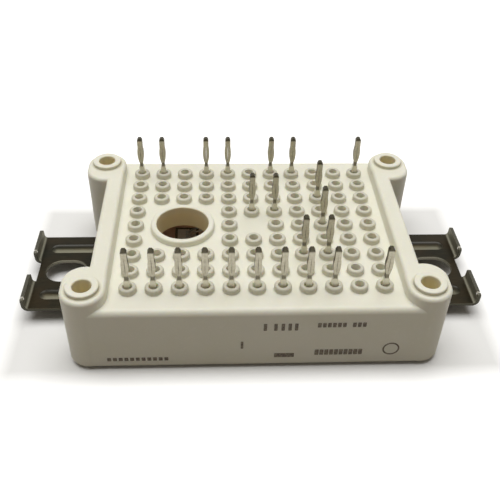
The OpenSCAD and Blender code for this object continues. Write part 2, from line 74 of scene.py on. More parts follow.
camera = bpy.data.objects.new("camera", bpy.data.cameras.new("camera"))
bpy.context.scene.collection.objects.link(camera)
bpy.context.scene.camera = camera
stand = Matrix((across, upwards, back)).transposed().to_4x4()
camera.matrix_world = Matrix.Translation(aim + back * aim_distance) @ stand
camera.data.sensor_width = 36
camera.data.lens = 50.84
camera.data.shift_y = 0.04
camera.data.clip_start = 5 * MM
camera.data.clip_end = 20

# ---- Housing
# One injection moulding of cream glass-filled polyester: lid, walls, bars, domes, risers and port.
# It comes out of a spark-eroded mould with a fine matt grain, and carries everything else.


def srgb(hex_colour):
    """An sRGB hex colour as the linear values that the shaders work in."""
    parts = [int(hex_colour[i:i + 2], 16) / 255 for i in (1, 3, 5)]
    return (*[p / 12.92 if p <= 0.04045 else ((p + 0.055) / 1.055) ** 2.4 for p in parts], 1)


def add(tree, kind, values=None, links=None):
    """Adds one shader node. values sets its sockets and settings, links joins sockets to outputs."""
    made = tree.nodes.new(kind)
    for name, value in (values or {}).items():
        if isinstance(name, int) or name in made.inputs:
            made.inputs[name].default_value = value
        else:
            setattr(made, name, value)
    for name, output in (links or {}).items():
        tree.links.new(output, made.inputs[name])
    return made


def new_material(name, **shader_values):
    """A material with its Principled shader, and the piece's own coordinates to hang patterns on."""
    made = bpy.data.materials.new(name)
    made.use_nodes = True
    tree = made.node_tree
    tree.nodes.clear()
    values = {key.replace("_", " "): value for key, value in shader_values.items()}
    shader = add(tree, "ShaderNodeBsdfPrincipled", values)
    add(tree, "ShaderNodeOutputMaterial", links={"Surface": shader.outputs[0]})
    place = add(tree, "ShaderNodeTexCoord").outputs["Object"]
    return made, tree, shader, place


def cells(size_mm):
    """The texture scale that makes a pattern's cells about that many millimetres wide."""
    return 1 / (size_mm * MM)


lid_top = 9.95 * MM
port_axis = (-9.6 * MM, 0, 0)
port_hole_radius = 3.56 * MM
port_ring_radius = 4.4 * MM
port_top = 10.8 * MM
port_shade_depth = 1.2 * MM
dome_axis = (21.25 * MM, 14.05 * MM, 0)
dome_hole_radius = 1.2 * MM
dome_shade_depth = 0.8 * MM
collar_radius = 2.1 * MM
collar_top = 12 * MM
bars_from_middle = 17.6 * MM
riser_pitch = 3.2 * MM
riser_hole_radius = 0.62 * MM

# Moulded polyester: a soft sheen, faint clouds where the melt flowed, fibre flecks and matt grain.
# Light goes nearly a millimetre into it, and its holes are painted ochre as painted light. The risers
# are painted a shade greyer as painted shade, and their holes lighter as painted light.
polyester, tree, shader, place = new_material(
    "moulded_cream_polyester", IOR=1.55, Subsurface_Weight=0.2,
    Subsurface_Radius=(1.2, 0.85, 0.3), Subsurface_Scale=0.7 * MM)
clouds = add(tree, "ShaderNodeTexNoise", {"Scale": cells(7), "Detail": 3}, {"Vector": place})
cloudy = add(tree, "ShaderNodeMapRange", {"From Min": 0.35, "From Max": 0.65},
             {"Value": clouds.outputs[0]})
flecks = add(tree, "ShaderNodeTexNoise", {"Scale": cells(0.45), "Detail": 2}, {"Vector": place})
flecked = add(tree, "ShaderNodeMapRange", {"From Min": 0.58, "From Max": 0.72, "To Max": 0.35},
              {"Value": flecks.outputs[0]})
cream = add(tree, "ShaderNodeMix", {"data_type": "RGBA", 6: srgb("#E5E3D1"), 7: srgb("#E9E7D7")},
            {0: cloudy.outputs[0]})
cream = add(tree, "ShaderNodeMix", {"data_type": "RGBA", 7: srgb("#EFECDD")},
            {0: flecked.outputs[0], 6: cream.outputs[2]})
# the distances to the port's axis and, mirrored into one quarter, to the domes' axes
flat = add(tree, "ShaderNodeVectorMath", {"operation": "MULTIPLY", 1: (1, 1, 0)}, {0: place})
from_port = add(tree, "ShaderNodeVectorMath", {"operation": "DISTANCE", 1: port_axis},
                {0: flat.outputs[0]}).outputs["Value"]
mirrored = add(tree, "ShaderNodeVectorMath", {"operation": "ABSOLUTE"}, {0: flat.outputs[0]})
from_dome = add(tree, "ShaderNodeVectorMath", {"operation": "DISTANCE", 1: dome_axis},
                {0: mirrored.outputs[0]}).outputs["Value"]
out = add(tree, "ShaderNodeSeparateXYZ", links={0: mirrored.outputs[0]}).outputs[0]
height = add(tree, "ShaderNodeSeparateXYZ", links={0: place}).outputs[2]
# painted light: the port's and the domes' holes are painted ochre, deeper towards their floors
in_port = add(tree, "ShaderNodeMapRange",
              {"From Min": port_hole_radius, "From Max": port_hole_radius + 0.1 * MM, "To Min": 1,
               "To Max": 0}, {"Value": from_port})
port_depth = add(tree, "ShaderNodeMapRange",
                 {"From Min": port_top - port_shade_depth, "From Max": port_top, "To Min": 1,
                  "To Max": 0.45}, {"Value": height})
in_port = add(tree, "ShaderNodeMath", {"operation": "MULTIPLY"},
              {0: in_port.outputs[0], 1: port_depth.outputs[0]})
in_dome = add(tree, "ShaderNodeMapRange",
              {"From Min": dome_hole_radius, "From Max": dome_hole_radius + 0.15 * MM, "To Min": 1,
               "To Max": 0}, {"Value": from_dome})
dome_depth = add(tree, "ShaderNodeMapRange",
                 {"From Min": collar_top - dome_shade_depth, "From Max": collar_top, "To Min": 1,
                  "To Max": 0.25}, {"Value": height})
in_dome = add(tree, "ShaderNodeMath", {"operation": "MULTIPLY"},
              {0: in_dome.outputs[0], 1: dome_depth.outputs[0]})
in_hole = add(tree, "ShaderNodeMath", {"operation": "MAXIMUM"},
              {0: in_port.outputs[0], 1: in_dome.outputs[0]})
painted_hole_light = add(tree, "ShaderNodeMix", {"data_type": "RGBA", 6: srgb("#F1E7C0"), 7: srgb("#F0E1B4")},
            {0: in_port.outputs[0]})
cream = add(tree, "ShaderNodeMix", {"data_type": "RGBA"},
            {0: in_hole.outputs[0], 6: cream.outputs[2], 7: painted_hole_light.outputs[2]})
# the crease round each dome's collar gathers a little shade
from_collar = add(tree, "ShaderNodeMath", {"operation": "SUBTRACT", 1: collar_radius},
                  {0: from_dome})
from_collar = add(tree, "ShaderNodeMath", {"operation": "ABSOLUTE"}, {0: from_collar.outputs[0]})
crease = add(tree, "ShaderNodeMapRange",
             {"From Min": 0.1 * MM, "From Max": 0.35 * MM, "To Min": 0.55, "To Max": 0},
             {"Value": from_collar.outputs[0]})
below_top = add(tree, "ShaderNodeMath", {"operation": "LESS_THAN", 1: collar_top - 0.12 * MM},
                {0: height})
crease = add(tree, "ShaderNodeMath", {"operation": "MULTIPLY"},
             {0: crease.outputs[0], 1: below_top.outputs[0]})
cream = add(tree, "ShaderNodeMix", {"data_type": "RGBA", 7: srgb("#BDB797")},
            {0: crease.outputs[0], 6: cream.outputs[2]})
# the risers: what stands above the lid between the bars, apart from the port's ring
above_lid = add(tree, "ShaderNodeMapRange",
                {"From Min": lid_top + 0.01 * MM, "From Max": lid_top + 0.15 * MM},
                {"Value": height})
inside_bars = add(tree, "ShaderNodeMath", {"operation": "LESS_THAN", 1: bars_from_middle}, {0: out})
off_port = add(tree, "ShaderNodeMath", {"operation": "GREATER_THAN", 1: port_ring_radius},
               {0: from_port})
riser = add(tree, "ShaderNodeMath", {"operation": "MULTIPLY"},
            {0: above_lid.outputs[0], 1: inside_bars.outputs[0]})
riser = add(tree, "ShaderNodeMath", {"operation": "MULTIPLY"},
            {0: riser.outputs[0], 1: off_port.outputs[0]})
# the distance to the nearest riser's axis: inside the hole the colour is painted lighter as painted
# light, and outside it the riser is painted greyer as painted shade
axis_x = add(tree, "ShaderNodeMath", {"operation": "PINGPONG", 1: riser_pitch / 2}, {0: out})
across_y = add(tree, "ShaderNodeSeparateXYZ", links={0: mirrored.outputs[0]}).outputs[1]
axis_y = add(tree, "ShaderNodeMath", {"operation": "PINGPONG", 1: riser_pitch / 2}, {0: across_y})
axis = add(tree, "ShaderNodeCombineXYZ", links={0: axis_x.outputs[0], 1: axis_y.outputs[0]})
from_axis = add(tree, "ShaderNodeVectorMath", {"operation": "LENGTH"}, {0: axis.outputs[0]})
outside = add(tree, "ShaderNodeMapRange",
              {"From Min": riser_hole_radius, "From Max": riser_hole_radius + 0.06 * MM},
              {"Value": from_axis.outputs["Value"]})
painted_riser_shading = add(tree, "ShaderNodeMix", {"data_type": "RGBA", 6: srgb("#F6F4E6"), 7: srgb("#CDCAB8")},
           {0: outside.outputs[0]})
cream = add(tree, "ShaderNodeMix", {"data_type": "RGBA"},
            {0: riser.outputs[0], 6: cream.outputs[2], 7: painted_riser_shading.outputs[2]})
tree.links.new(cream.outputs[2], shader.inputs["Base Color"])
grain = add(tree, "ShaderNodeTexNoise", {"Scale": cells(0.16), "Detail": 2}, {"Vector": place})
matt = add(tree, "ShaderNodeMapRange",
           {"From Min": 0.3, "From Max": 0.7, "To Min": 0.42, "To Max": 0.56},
           {"Value": grain.outputs[0]})
tree.links.new(matt.outputs[0], shader.inputs["Roughness"])
soft_edge = add(tree, "ShaderNodeBevel", {"samples": 6, "Radius": 0.16 * MM})
eroded = add(tree, "ShaderNodeBump", {"Strength": 0.25, "Distance": 0.008 * MM},
             {"Height": grain.outputs[0], "Normal": soft_edge.outputs[0]})
tree.links.new(eroded.outputs[0], shader.inputs["Normal"])


def finish_nodes(names, material):
    """Gives CAD nodes their material."""
    for name in names:
        nodes[name].material_slots[0].material = material


finish_nodes(["housing"], polyester)

# ---- Ink on the front wall
# Plain pad-printed dashes, bars and one ring in thin brown ink. They lie where such a module has
# its lot code, stand a hundredth or two proud of the moulding, and spell nothing.
wall_y = -16.8 * MM
ink_depth = 0.02 * MM
corner_radius = 0.07 * MM


def new_piece(name, shape):
    """Turns a finished shape into a named object in the scene."""
    mesh = bpy.data.meshes.new(name)
    shape.to_mesh(mesh)
    shape.free()
    made = bpy.data.objects.new(name, mesh)
    bpy.context.scene.collection.objects.link(made)
    return made


def ink_bar(shape, x, z, width, height):
    """One flat bar with rounded corners, centred at (x, z) millimetres on the front wall."""
    made = bmesh.ops.create_grid(shape, x_segments=1, y_segments=1, size=0.5)["verts"]
    bmesh.ops.scale(shape, vec=(width * MM, height * MM, 1), verts=made)
    bmesh.ops.rotate(shape, cent=(0, 0, 0), matrix=Matrix.Rotation(math.pi / 2, 3, "X"), verts=made)
    bmesh.ops.translate(shape, vec=(x * MM, wall_y, z * MM), verts=made)
    bmesh.ops.bevel(shape, geom=made, offset=corner_radius, offset_type="OFFSET", segments=2,
                    profile=0.5, affect="VERTICES", material=-1)


shape = bmesh.new()
# lot row, single stroke, short bar, two long rows and a low row, as (x, z, width, height)
ink_bars = [(x, 7.25, 0.42, 1.2) for x in (0.9, 2.2, 3.1, 3.95, 4.75)]
ink_bars += [(-1.93, 4.15, 0.32, 1.25), (3.45, 2.2, 2.55, 0.72)]
ink_bars += [(7.6 + 0.62 * i, 7.5, 0.46, 0.76) for i in range(10) if i != 6]
ink_bars += [(7.6 + 0.62 * i, 2.65, 0.52, 0.98) for i in range(10)]
ink_bars += [(-18.7 + 0.72 * i, 1.85, 0.5, 0.6) for i in range(11)]
for bar in ink_bars:
    ink_bar(shape, *bar)
ring_edges = []
for radius in (0.88, 1.09):
    circle = bmesh.ops.create_circle(shape, segments=48, radius=radius * MM)["verts"]
    bmesh.ops.rotate(shape, cent=(0, 0, 0), matrix=Matrix.Rotation(math.pi / 2, 3, "X"),
                     verts=circle)
    bmesh.ops.translate(shape, vec=(17.1 * MM, wall_y, 3.1 * MM), verts=circle)
    ring_edges += {cut_edge_and_slot_light for vert in circle for cut_edge_and_slot_light in vert.link_edges}
bmesh.ops.bridge_loops(shape, edges=ring_edges)
bmesh.ops.solidify(shape, geom=shape.faces[:], thickness=ink_depth)
bmesh.ops.recalc_face_normals(shape, faces=shape.faces)
low_y = min(vert.co.y for vert in shape.verts)
bmesh.ops.translate(shape, vec=(0, wall_y - ink_depth - low_y, 0), verts=shape.verts)
front_ink = new_piece("front_ink", shape)

# Pad-printing ink: thin and matt, with pinholes where the pad left the grain of the wall bare
ink, tree, shader, place = new_material("pad_printed_ink", Roughness=0.6)
pinholes = add(tree, "ShaderNodeTexNoise", {"Scale": cells(0.22), "Detail": 3}, {"Vector": place})
thin = add(tree, "ShaderNodeMapRange", {"From Min": 0.4, "From Max": 0.7},
           {"Value": pinholes.outputs[0]})
brown = add(tree, "ShaderNodeMix", {"data_type": "RGBA", 6: srgb("#4E4234"), 7: srgb("#8A7F6B")},
            {0: thin.outputs[0]})
tree.links.new(brown.outputs[2], shader.inputs["Base Color"])
front_ink.data.materials.append(ink)
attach(front_ink, "root")

# ---- Substrate
# A thin ceramic sheet with copper bonded on both faces. The lower copper stands on the heat sink,
# and the upper one is etched into islands.
ceramic_low, ceramic_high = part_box("ceramic_substrate")

# Sintered alumina: smooth, ivory white, with grey specks from the firing
ceramic, tree, shader, place = new_material("sintered_ceramic", IOR=1.6, Roughness=0.35)
speckle = add(tree, "ShaderNodeTexNoise", {"Scale": cells(0.3), "Detail": 4}, {"Vector": place})
speckled = add(tree, "ShaderNodeMapRange", {"From Min": 0.4, "From Max": 0.7},
               {"Value": speckle.outputs[0]})
ivory = add(tree, "ShaderNodeMix", {"data_type": "RGBA", 6: srgb("#ECEAE2"), 7: srgb("#DEDBD0")},
            {0: speckled.outputs[0]})
tree.links.new(ivory.outputs[2], shader.inputs["Base Color"])
finish_nodes(["ceramic_substrate"], ceramic)

# Bonded copper: matt from the furnace, with a fine crystal pattern and faint brown oxide clouds
copper, tree, shader, place = new_material("bonded_copper")
crystals = add(tree, "ShaderNodeTexVoronoi", {"Scale": cells(0.35)}, {"Vector": place})
bright = add(tree, "ShaderNodeMix", {"data_type": "RGBA", 6: srgb("#F2C49C"), 7: srgb("#EBB58B")},
             {0: crystals.outputs["Color"]})
oxide = add(tree, "ShaderNodeTexNoise", {"Scale": cells(4), "Detail": 4}, {"Vector": place})
oxidised = add(tree, "ShaderNodeMapRange", {"From Min": 0.45, "From Max": 0.75, "To Max": 0.6},
               {"Value": oxide.outputs[0]})
bonded = add(tree, "ShaderNodeMix", {"data_type": "RGBA", 7: srgb("#B47C58")},
             {0: oxidised.outputs[0], 6: bright.outputs[2]})
tree.links.new(bonded.outputs[2], shader.inputs["Base Color"])
matt = add(tree, "ShaderNodeMapRange",
           {"From Min": 0.3, "From Max": 0.7, "To Min": 0.5, "To Max": 0.65},
           {"Value": oxide.outputs[0]})
tree.links.new(matt.outputs[0], shader.inputs["Roughness"])
# the islands keep the dull skin of the furnace, and the lower face is brushed to the metal
height = add(tree, "ShaderNodeSeparateXYZ", links={0: place}).outputs[2]
skin = add(tree, "ShaderNodeMapRange",
           {"From Min": ceramic_low.z, "From Max": ceramic_high.z, "To Min": 1, "To Max": 0.12},
           {"Value": height})
tree.links.new(skin.outputs[0], shader.inputs["Metallic"])
finish_nodes(["bottom_copper", "top_copper"], copper)

# ---- Chips
# Sawn silicon squares soldered to the copper. A switching chip has aluminium pads between dark
# gate runners on its top face, and a diode has one pad inside a dark edge ring.


def chip_material(node, runner_x_mm, edge_mm):
    """Glossy bare silicon, with matt aluminium pads on top and one dark gate runner along Y."""
    made, tree, shader, place = new_material(node + "_silicon_and_pads")
    low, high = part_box(node)
    middle = (low + high) / 2
    half = (high - low) / 2
    centred = add(tree, "ShaderNodeMapping", {"Location": -middle}, {"Vector": place})
    apart = add(tree, "ShaderNodeSeparateXYZ", links={0: centred.outputs[0]})
    inside = []
    for axis in (0, 1):
        size = add(tree, "ShaderNodeMath", {"operation": "ABSOLUTE"}, {0: apart.outputs[axis]})
        limit = half[axis] - edge_mm * MM
        inside.append(add(tree, "ShaderNodeMapRange",
                          {"From Min": limit, "From Max": limit + 0.02 * MM, "To Min": 1, "To Max": 0},
                          {"Value": size.outputs[0]}).outputs[0])
    pad = add(tree, "ShaderNodeMath", {"operation": "MULTIPLY"}, {0: inside[0], 1: inside[1]})
    off_runner = add(tree, "ShaderNodeMath", {"operation": "SUBTRACT", 1: runner_x_mm * MM},
                     {0: apart.outputs[0]})
    off_runner = add(tree, "ShaderNodeMath", {"operation": "ABSOLUTE"}, {0: off_runner.outputs[0]})
    finger = add(tree, "ShaderNodeMapRange", {"From Min": 0.06 * MM, "From Max": 0.09 * MM},
                 {"Value": off_runner.outputs[0]})
    top = add(tree, "ShaderNodeMapRange",
              {"From Min": half[2] - 0.02 * MM, "From Max": half[2] - 0.01 * MM},
              {"Value": apart.outputs[2]})
    metal = add(tree, "ShaderNodeMath", {"operation": "MULTIPLY"},
                {0: pad.outputs[0], 1: finger.outputs[0]})
    metal = add(tree, "ShaderNodeMath", {"operation": "MULTIPLY"},
                {0: metal.outputs[0], 1: top.outputs[0]})
    grains = add(tree, "ShaderNodeTexNoise", {"Scale": cells(0.1)}, {"Vector": place})
    aluminium = add(tree, "ShaderNodeMix",
                    {"data_type": "RGBA", 6: srgb("#EFE4D2"), 7: srgb("#DDD0BC")},
                    {0: grains.outputs[0]})
    colour = add(tree, "ShaderNodeMix", {"data_type": "RGBA", 6: srgb("#5E4B2A")},
                 {0: metal.outputs[0], 7: aluminium.outputs[2]})
    tree.links.new(colour.outputs[2], shader.inputs["Base Color"])
    sheen = add(tree, "ShaderNodeMath", {"operation": "MULTIPLY", 1: 0.15}, {0: metal.outputs[0]})
    tree.links.new(sheen.outputs[0], shader.inputs["Metallic"])
    polish = add(tree, "ShaderNodeMapRange", {"To Min": 0.18, "To Max": 0.52},
                 {"Value": metal.outputs[0]})
    tree.links.new(polish.outputs[0], shader.inputs["Roughness"])
    return made


# a diode has no gate runner, so its line lies outside the chip
beside_the_chip = 10
for name in nodes:
    if "igbt" in name:
        finish_nodes([name], chip_material(name, runner_x_mm=0.48, edge_mm=0.4))
    if "diode" in name or "rectifier" in name:
        finish_nodes([name], chip_material(name, runner_x_mm=beside_the_chip, edge_mm=0.3))

# ---- Thermistor
# A small block of sintered metal oxide, soldered across two islands. It is dull and nearly black,
# with fine open pores.
oxide_block, tree, shader, place = new_material("sintered_oxide", Roughness=0.5)
pores = add(tree, "ShaderNodeTexNoise", {"Scale": cells(0.12), "Detail": 3}, {"Vector": place})
porous = add(tree, "ShaderNodeMix", {"data_type": "RGBA", 6: srgb("#2B2825"), 7: srgb("#47423C")},
             {0: pores.outputs[0]})
tree.links.new(porous.outputs[2], shader.inputs["Base Color"])
finish_nodes(["thermistor"], oxide_block)

# ---- Bond wires
# Drawn aluminium, looped from pad to pad and pressed flat at each end where the tool welded it.
# Drawing leaves it silvery, with a satin gloss that comes and goes.
drawn, tree, shader, place = new_material("drawn_aluminium", Metallic=1)
lines = add(tree, "ShaderNodeTexNoise", {"Scale": cells(0.2), "Detail": 3}, {"Vector": place})
silvery = add(tree, "ShaderNodeMix", {"data_type": "RGBA", 6: srgb("#E2E1DC"), 7: srgb("#C8C6BF")},
              {0: lines.outputs[0]})
tree.links.new(silvery.outputs[2], shader.inputs["Base Color"])
satin = add(tree, "ShaderNodeMapRange",
            {"From Min": 0.3, "From Max": 0.7, "To Min": 0.25, "To Max": 0.4},
            {"Value": lines.outputs[0]})
tree.links.new(satin.outputs[0], shader.inputs["Roughness"])
finish_nodes(["power_wires", "gate_wires"], drawn)

# ---- Pin sleeves
# Turned and tinned copper, soldered to the islands; each takes the foot of one pin. The tin is a
# dull plate, a little spotted by the solder's heat.
tinned, tree, shader, place = new_material("dull_tin_plate", Metallic=1)
spots = add(tree, "ShaderNodeTexNoise", {"Scale": cells(0.25), "Detail": 3}, {"Vector": place})
dull = add(tree, "ShaderNodeMix", {"data_type": "RGBA", 6: srgb("#D2CFC6"), 7: srgb("#B9B5A9")},
           {0: spots.outputs[0]})
tree.links.new(dull.outputs[2], shader.inputs["Base Color"])
satin = add(tree, "ShaderNodeMapRange",
            {"From Min": 0.3, "From Max": 0.7, "To Min": 0.3, "To Max": 0.5},
            {"Value": spots.outputs[0]})
tree.links.new(satin.outputs[0], shader.inputs["Roughness"])
finish_nodes(["pin_sleeves"], tinned)

# ---- Gel
# Clear silicone, poured in through the port and cured over the chips and wires. It climbs a little
# at the walls and round the sleeves, and its skin stays wet and glossy.
gel_low, gel_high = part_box("silicone_gel")
pin_names = [name for name in nodes if name.startswith("pin_") and name != "pin_sleeves"]
sleeve_axes = [(sum(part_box(name), Vector()) / 2).to_2d() for name in pin_names]
sleeve_radius = 0.74 * MM
climb = 0.3 * MM
climb_length = 0.4 * MM
wall_gap = 0.02 * MM

shape = bmesh.new()
bmesh.ops.create_grid(shape, x_segments=110, y_segments=88, size=0.5)
span = gel_high - gel_low
bmesh.ops.scale(shape, vec=(span.x - 2 * wall_gap, span.y - 2 * wall_gap, 1), verts=shape.verts)
bmesh.ops.translate(shape, vec=(0, 0, gel_low.z), verts=shape.verts)
skin = bmesh.ops.extrude_face_region(shape, geom=shape.faces[:])["geom"]
for vert in [part for part in skin if isinstance(part, bmesh.types.BMVert)]:
    from_wall = min(gel_high.x - abs(vert.co.x), gel_high.y - abs(vert.co.y))
    from_sleeve = min((vert.co.to_2d() - axis).length for axis in sleeve_axes) - sleeve_radius
    reach = max(min(from_wall, from_sleeve), 0)
    vert.co.z = gel_high.z + climb * math.exp(-reach / climb_length)
bmesh.ops.recalc_face_normals(shape, faces=shape.faces)
for face in shape.faces:
    face.smooth = face.normal.z > 0.3
gel_pour = new_piece("gel_pour", shape)

# Cured silicone gel: nearly clear with a warm cast, and a wet skin with slow ripples
silicone, tree, shader, place = new_material("cured_silicone_gel", IOR=1.41, Alpha=0.1)
haze = add(tree, "ShaderNodeTexNoise", {"Scale": cells(2.5), "Detail": 2}, {"Vector": place})
cast = add(tree, "ShaderNodeMix", {"data_type": "RGBA", 6: srgb("#B8A98C"), 7: srgb("#CFC4AC")},
           {0: haze.outputs[0]})
tree.links.new(cast.outputs[2], shader.inputs["Base Color"])
wet = add(tree, "ShaderNodeMapRange", {"To Min": 0.05, "To Max": 0.12}, {"Value": haze.outputs[0]})
tree.links.new(wet.outputs[0], shader.inputs["Roughness"])
ripples = add(tree, "ShaderNodeBump", {"Strength": 0.3, "Distance": 0.05 * MM},
              {"Height": haze.outputs[0]})
tree.links.new(ripples.outputs[0], shader.inputs["Normal"])
gel_pour.data.materials.append(silicone)
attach(gel_pour, "root")
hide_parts("silicone_gel")

# ---- Press-fit pins
# Stamped from tinned bronze strip, with the eye of each spring closed to a slit by the coining
# press. The broad faces keep their tin and the sheared edges show darker metal; the necks and tips
# are painted dark as painted shade, and the feet painted bright as painted light.
eye_low = 12.4 * MM
eye_high = 15.6 * MM
eye_edge = 0.1 * MM
slit_share = 0.27
neck_height = 12.2 * MM
foot_top = 11.9 * MM
tip_length = 0.5 * MM
fade_length = 0.2 * MM

# Tinned bronze: a satin grey plate with faint spots, over a darker brown metal where it was sheared
stamped, tree, shader, place = new_material("stamped_tinned_bronze", Metallic=1)
facing = add(tree, "ShaderNodeNewGeometry").outputs["True Normal"]
facing = add(tree, "ShaderNodeSeparateXYZ", links={0: facing}).outputs[1]
facing = add(tree, "ShaderNodeMath", {"operation": "ABSOLUTE"}, {0: facing})
broad = add(tree, "ShaderNodeMapRange", {"From Min": 0.4, "From Max": 0.7},
            {"Value": facing.outputs[0]})
spots = add(tree, "ShaderNodeTexNoise", {"Scale": cells(0.3), "Detail": 4}, {"Vector": place})
plated = add(tree, "ShaderNodeMix", {"data_type": "RGBA", 6: srgb("#BFBAA8"), 7: srgb("#9A9482")},
             {0: spots.outputs[0]})
sheared = add(tree, "ShaderNodeMix", {"data_type": "RGBA", 6: srgb("#746C5A"), 7: srgb("#4F493B")},
              {0: spots.outputs[0]})
metal = add(tree, "ShaderNodeMix", {"data_type": "RGBA"},
            {0: broad.outputs[0], 6: sheared.outputs[2], 7: plated.outputs[2]})
height = add(tree, "ShaderNodeSeparateXYZ", links={0: place}).outputs[2]
# painted shade: the tip and the neck of each pin are painted dark
tip_start = cad_box[1].z - tip_length
painted_tip_shade = add(tree, "ShaderNodeMapRange",
          {"From Min": tip_start, "From Max": tip_start + fade_length, "To Max": 0.9},
          {"Value": height})
from_neck = add(tree, "ShaderNodeMath", {"operation": "SUBTRACT", 1: neck_height}, {0: height})
from_neck = add(tree, "ShaderNodeMath", {"operation": "ABSOLUTE"}, {0: from_neck.outputs[0]})
painted_neck_shade = add(tree, "ShaderNodeMapRange",
           {"From Min": 0.2 * MM, "From Max": 0.42 * MM, "To Min": 0.65, "To Max": 0},
           {"Value": from_neck.outputs[0]})
# painted light: below the neck the stem is painted brighter, for the light in the riser holes round it
painted_foot_light = add(tree, "ShaderNodeMapRange", {"From Min": foot_top, "From Max": foot_top - fade_length},
           {"Value": height})
metal = add(tree, "ShaderNodeMix", {"data_type": "RGBA", 7: srgb("#CFCBBB")},
            {0: painted_foot_light.outputs[0], 6: metal.outputs[2]})
painted_tip_and_neck_shade = add(tree, "ShaderNodeMath", {"operation": "MAXIMUM"},
           {0: painted_tip_shade.outputs[0], 1: painted_neck_shade.outputs[0]})
metal = add(tree, "ShaderNodeMix", {"data_type": "RGBA", 7: srgb("#3D392C")},
            {0: painted_tip_and_neck_shade.outputs[0], 6: metal.outputs[2]})
tree.links.new(metal.outputs[2], shader.inputs["Base Color"])
satin = add(tree, "ShaderNodeMapRange",
            {"From Min": 0.3, "From Max": 0.7, "To Min": 0.36, "To Max": 0.52},
            {"Value": spots.outputs[0]})
tree.links.new(satin.outputs[0], shader.inputs["Roughness"])
rounded = add(tree, "ShaderNodeBevel", {"samples": 6, "Radius": 0.05 * MM})
tree.links.new(rounded.outputs[0], shader.inputs["Normal"])
finish_nodes(pin_names, stamped)

for name in pin_names:
    shape = bmesh.new()
    shape.from_mesh(nodes[name].data)
    bmesh.ops.remove_doubles(shape, verts=shape.verts, dist=0.001 * MM)
    axis_x = (sum(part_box(name), Vector()) / 2).x
    for vert in shape.verts:
        if eye_low < vert.co.z < eye_high and abs(vert.co.x - axis_x) < eye_edge:
            vert.co.x = axis_x + (vert.co.x - axis_x) * slit_share
    spring_pin = new_piece(name.replace("pin_", "spring_pin_"), shape)
    spring_pin.data.materials.append(stamped)
    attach(spring_pin, "root")
    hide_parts(name)

# ---- Clamps
# Spring steel strip, cut, pressed and bent, then blackened and oiled. The oil leaves soft brown
# clouds and the rolling direction runs along X. The beads, bends, tabs, slot walls and nicks carry
# painted highlights and painted light.
clamp_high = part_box("clamp_right")[1]
formed_zone_x = clamp_high.x - 1.6 * MM
tab_face_x = clamp_high.x - 0.93 * MM
slot_half_width = 2.6 * MM
nicks_y = (-7.18 * MM, 2.82 * MM)
nick_half_width = 0.16 * MM
nick_depth = 0.4 * MM

# Blackened steel: nearly black and softly glossy, streaked along the strip, with brown oil clouds
blackened, tree, shader, place = new_material("blackened_spring_steel", Metallic=1)
along = add(tree, "ShaderNodeMapping", {"Scale": (0.08, 1, 1)}, {"Vector": place})
rolled = add(tree, "ShaderNodeTexNoise", {"Scale": cells(0.12), "Detail": 3},
             {"Vector": along.outputs[0]})
oil = add(tree, "ShaderNodeTexNoise", {"Scale": cells(3.5), "Detail": 4}, {"Vector": place})
oily = add(tree, "ShaderNodeMapRange", {"From Min": 0.35, "From Max": 0.65},
           {"Value": oil.outputs[0]})
steel = add(tree, "ShaderNodeMix", {"data_type": "RGBA", 6: srgb("#23221A"), 7: srgb("#2C2519")},
            {0: oily.outputs[0]})
streaked = add(tree, "ShaderNodeMapRange", {"From Min": 0.5, "From Max": 0.75, "To Max": 0.3},
               {"Value": rolled.outputs[0]})
steel = add(tree, "ShaderNodeMix", {"data_type": "RGBA", 7: srgb("#45422F")},
            {0: streaked.outputs[0], 6: steel.outputs[2]})
# which way a face looks, how rounded it is and where it lies
facing = add(tree, "ShaderNodeNewGeometry").outputs["True Normal"]
facing = add(tree, "ShaderNodeSeparateXYZ", links={0: facing}).outputs
rounded = add(tree, "ShaderNodeBevel", {"samples": 8, "Radius": 0.16 * MM})
eased = add(tree, "ShaderNodeSeparateXYZ", links={0: rounded.outputs[0]}).outputs[2]
spot = add(tree, "ShaderNodeSeparateXYZ", links={0: place}).outputs
across_y = add(tree, "ShaderNodeMath", {"operation": "ABSOLUTE"}, {0: facing[1]})
upright_part = add(tree, "ShaderNodeMath", {"operation": "ABSOLUTE"}, {0: facing[2]})
level_part = add(tree, "ShaderNodeMath", {"operation": "SUBTRACT", 0: 1}, {1: upright_part.outputs[0]})
out = add(tree, "ShaderNodeMath", {"operation": "ABSOLUTE"}, {0: spot[0]})
aside = add(tree, "ShaderNodeMath", {"operation": "ABSOLUTE"}, {0: spot[1]})
# painted highlight: the beads, the bend and the rounded rims are painted lighter, and the tabs'
# inner faces lighter still
eased = add(tree, "ShaderNodeMath", {"operation": "ABSOLUTE"}, {0: eased})
painted_sheen = add(tree, "ShaderNodeMapRange",
             {"From Min": 0.99, "From Max": 0.78}, {"Value": eased.outputs[0]})
inward = add(tree, "ShaderNodeMapRange",
             {"From Min": clamp_high.y - 0.5 * MM, "From Max": clamp_high.y - 0.3 * MM, "To Min": 1,
              "To Max": 0}, {"Value": aside.outputs[0]})
painted_sheen = add(tree, "ShaderNodeMath", {"operation": "MULTIPLY"},
             {0: painted_sheen.outputs[0], 1: inward.outputs[0]})
tilted = add(tree, "ShaderNodeMapRange", {"From Min": 0.01, "From Max": 0.22},
             {"Value": level_part.outputs[0]})
painted_sheen = add(tree, "ShaderNodeMath", {"operation": "MAXIMUM"},
             {0: painted_sheen.outputs[0], 1: tilted.outputs[0]})
at_bend = add(tree, "ShaderNodeMath", {"operation": "GREATER_THAN", 1: formed_zone_x},
              {0: out.outputs[0]})
outward = add(tree, "ShaderNodeMath", {"operation": "MULTIPLY"}, {0: facing[0], 1: spot[0]})
inner = add(tree, "ShaderNodeMath", {"operation": "LESS_THAN", 1: 0}, {0: outward.outputs[0]})
